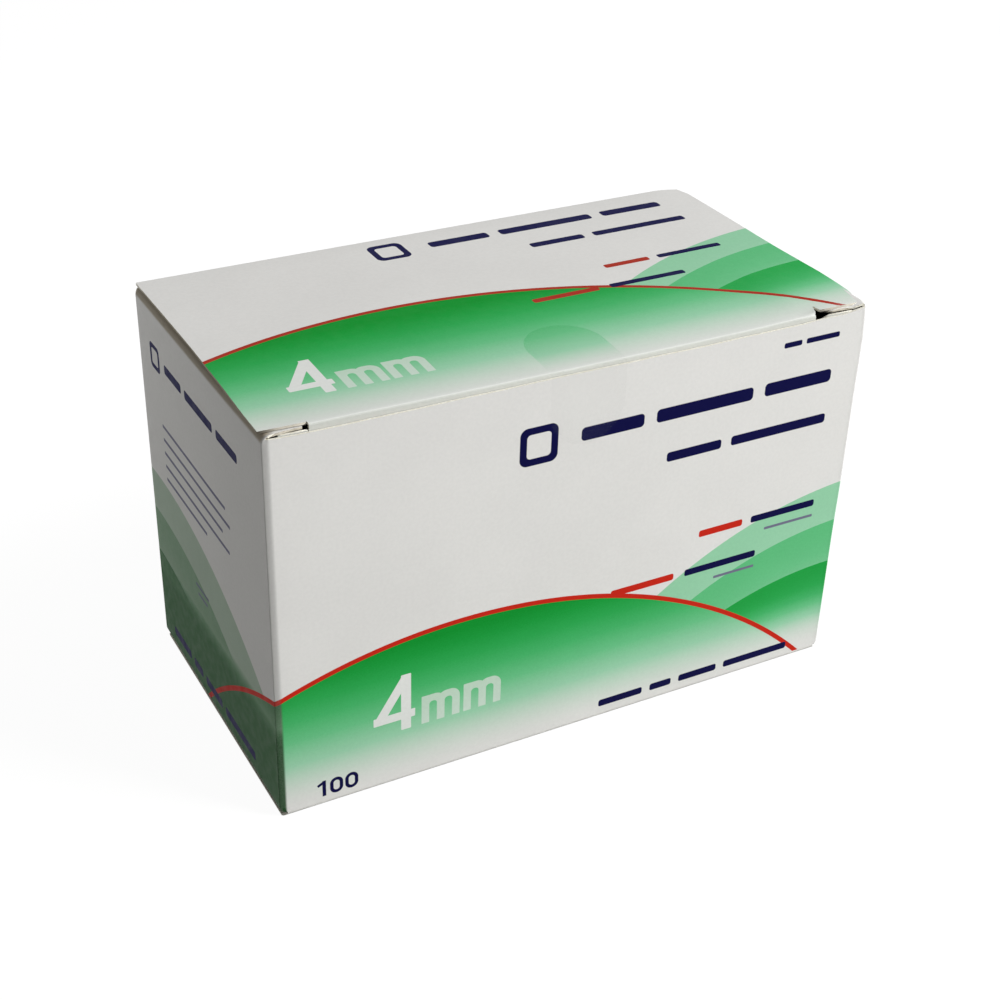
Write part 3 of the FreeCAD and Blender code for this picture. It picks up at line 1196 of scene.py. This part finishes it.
def printed_board(name, attribute, layout, repeat=0.0):
    """Coated board printed by a layout: mottled, satin varnished, worn at folds, with a painted
    highlight on the folded edge and painted shade on the walls.
    """
    material, shader, nodes = new_material(name)
    place = nodes.attribute(attribute, "Vector")
    if repeat:
        along, rise = nodes.split(place)
        along = nodes.math("MODULO", nodes.math("ADD", along, depth + 2 * repeat), repeat)
        along = nodes.math("SUBTRACT", along, depth)
        place = nodes.feed(nodes.add("ShaderNodeCombineXYZ"), along, rise)
    else:
        place = nodes.vector("SUBTRACT", place, (left, 0.0, 0.0))
    ink = Print(material.node_tree, place)
    layout(ink)
    body = nodes.object_place()
    cloud = nodes.ramp(nodes.noise(body, 60.0, 3.0), 0.3, 0.7, 0.98, 1.005)
    fibre = nodes.ramp(nodes.noise(body, 1500.0, 3.0), 0.25, 0.75, 0.965, 1.0)
    toned = nodes.add("ShaderNodeVectorMath", operation="SCALE")
    nodes.fill(toned, {0: ink.colour_now, "Scale": nodes.math("MULTIPLY", cloud, fibre)})
    # Folds whiten: worn, crazed print, and along the lid's folded front edge also a painted highlight
    fold = nodes.attribute("fold")
    crazed = nodes.ramp(nodes.noise(body, 4000.0, 3.0), 0.35, 0.65, 0.2, 0.5)
    worn_and_highlight = nodes.math("MULTIPLY", fold, crazed)
    colour = nodes.colour(worn_and_highlight, toned.outputs[0], numeral_white)
    # On the walls, painted shade darkens the board where the sheet marks it: the fold of the lid's left
    # dust flap
    if repeat:
        colour = nodes.colour(nodes.attribute("painted_shade"), colour, painted_shade_board)
    rough = nodes.ramp(nodes.noise(body, 500.0, 3.0), 0.3, 0.7, 0.46, 0.58)
    relief = nodes.math("MULTIPLY", nodes.noise(body, 260.0), 2.5)
    relief = nodes.math("ADD", nodes.noise(body, 1800.0, 3.0), relief)
    nodes.fill(shader, {
        "Base Color": colour,
        "Roughness": nodes.math("ADD", rough, nodes.math("MULTIPLY", fold, 0.12)),
        "Specular IOR Level": 0.03,
        "Normal": nodes.bump(relief, 0.35, 0.000012),
    })
    return material


def bare_board(name, colour, dark, grain_scale, stretch):
    """Uncoated board: layered fibres, rough and matt."""
    material, shader, nodes = new_material(name)
    body = nodes.object_place()
    layers = nodes.ramp(nodes.noise(body, grain_scale, 4.0, stretch), 0.35, 0.65)
    # Painted shade darkens raw and inner faces where the sheet marks it: the lid's left raw edge, the
    # ears' front edges and the left dust flap's fold
    painted_shade = nodes.attribute("painted_shade")
    nodes.fill(shader, {
        "Base Color": nodes.colour(painted_shade, nodes.colour(layers, dark, colour), painted_shade_board),
        "Roughness": nodes.ramp(layers, 0.0, 1.0, 0.95, 0.85),
        "Specular IOR Level": 0.2,
        "Normal": nodes.bump(layers, 0.5, 0.00002),
    })
    return material


def clear_film():
    """Clear adhesive film: glossy, with faint ripples and a hint of its own tone."""
    material, shader, nodes = new_material("clear_film")
    body = nodes.object_place()
    cloud = nodes.noise(body, 300.0, 3.0)
    nodes.fill(shader, {
        "Alpha": film_alpha,
        "Base Color": nodes.colour(cloud, film_tone, film_tone_pale),
        "Roughness": nodes.ramp(cloud, 0.3, 0.7, 0.12, 0.22),
        "Specular IOR Level": 0.5,
        "Normal": nodes.bump(nodes.noise(body, 120.0), 0.3, 0.00005),
    })
    return material


def make_carton():
    """The carton's board, standing for its CAD node."""
    materials = [
        printed_board("printed_walls", "wall_print", print_walls, width + depth),
        printed_board("printed_lid", "lid_print", print_lid),
        printed_board("plain_base", "lid_print", print_base),
        bare_board("inner_board", inner_board, inner_board_dark, 900.0, None),
        bare_board("raw_edge", raw_board, raw_board_dark, 2200.0, (1.0, 1.0, 3.0)),
    ]
    mesh = thicken(folded_sheet(), "folded_carton", board, INSIDE, RAW)
    for material in materials:
        mesh.materials.append(material)
    carton = show(mesh, "folded_carton")
    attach(carton, "root")
    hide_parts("carton")


# Camera, lamps and surroundings

camera_place = (-0.1403, -0.25587, 0.21214)
camera_forward = (0.4123, 0.7477, -0.5205)
camera_up = (0.2238, 0.4707, 0.8534)
camera_lens = 61.895
sensor_width = 36.0

# Soft lamps, as (direction from the pack, distance, size, light on a surface facing it)

lamps = {
    "key": ((0.75, -0.6, 0.7), 1.35, 0.64, 1.42),
    "side": ((-0.7, 0.6, 0.34), 0.28, 0.14, 0.22),
    "fill": ((-0.12, -1.0, 0.0), 0.42, 0.07, 0.045),
}

world_level = 0.055
floor_reach = 3.0
floor_colour = (0.42, 0.42, 0.41, 1.0)
floor_glow = 1.25
floor_glow_share = 0.76


def make_camera():
    """The photograph's view."""
    data = bpy.data.cameras.new("camera")
    data.sensor_width = sensor_width
    data.lens = camera_lens
    data.clip_start = 0.01
    data.clip_end = 20.0
    camera = bpy.data.objects.new("camera", data)
    forward = Vector(camera_forward).normalized()
    side = forward.cross(Vector(camera_up)).normalized()
    turn = Matrix((side, side.cross(forward), -forward)).transposed()
    camera.matrix_world = Matrix.Translation(camera_place) @ turn.to_4x4()
    bpy.context.scene.collection.objects.link(camera)
    bpy.context.scene.camera = camera


def area_lamp(name, direction, distance, size, level):
    """A soft lamp aimed at the pack."""
    data = bpy.data.lights.new(name, "AREA")
    data.shape = "SQUARE"
    data.size = size
    data.energy = level * (math.pi * distance) ** 2
    lamp = bpy.data.objects.new(name, data)
    away = Vector(direction).normalized()
    lamp.location = Vector((0, 0, height / 2 * MM)) + away * distance
    lamp.rotation_mode = "QUATERNION"
    lamp.rotation_quaternion = away.to_track_quat("Z", "Y")
    bpy.context.scene.collection.objects.link(lamp)


def seen_directly(nodes):
    """One for camera, glossy and transmission rays, else nought."""
    path = nodes.add("ShaderNodeLightPath")
    share = nodes.math("ADD", path.outputs["Is Camera Ray"], path.outputs["Is Glossy Ray"])
    return nodes.math("ADD", share, path.outputs["Is Transmission Ray"], clamp=True)


def make_floor():
    """Plain pale floor that shows nearly white and keeps the pack's shadow."""
    corners = [(x * floor_reach, y * floor_reach, 0) for x, y in ((-1, -1), (1, -1), (1, 1), (-1, 1))]
    mesh = bpy.data.meshes.new("floor")
    mesh.from_pydata(corners, [], [(0, 1, 2, 3)])
    material = bpy.data.materials.new("floor")
    material.use_nodes = True
    tree = material.node_tree
    tree.nodes.clear()
    nodes = Nodes(tree)
    matt = nodes.add("ShaderNodeBsdfDiffuse")
    nodes.fill(matt, {"Color": floor_colour})
    bright = nodes.add("ShaderNodeEmission")
    nodes.fill(bright, {"Strength": floor_glow})
    glow = nodes.math("MULTIPLY", seen_directly(nodes), floor_glow_share)
    blend = nodes.feed(nodes.add("ShaderNodeMixShader"), glow, matt.outputs[0], bright.outputs[0])
    nodes.plug(blend, nodes.add("ShaderNodeOutputMaterial").inputs[0])
    mesh.materials.append(material)
    show(mesh, "floor")


def make_world():
    """White where it is seen, and a low even light elsewhere."""
    world = bpy.data.worlds.new("studio")
    bpy.context.scene.world = world
    world.use_nodes = True
    nodes = Nodes(world.node_tree)
    level = nodes.ramp(seen_directly(nodes), 0.0, 1.0, world_level, 1.0, "LINEAR")
    white = (1.0, 1.0, 1.0, 1.0)
    nodes.fill(world.node_tree.nodes["Background"], {"Color": white, "Strength": level})


make_camera()
make_floor()
make_world()
for name, values in lamps.items():
    area_lamp(name, *values)
make_carton()
make_seal()
bpy.context.scene.view_settings.view_transform = "Standard"
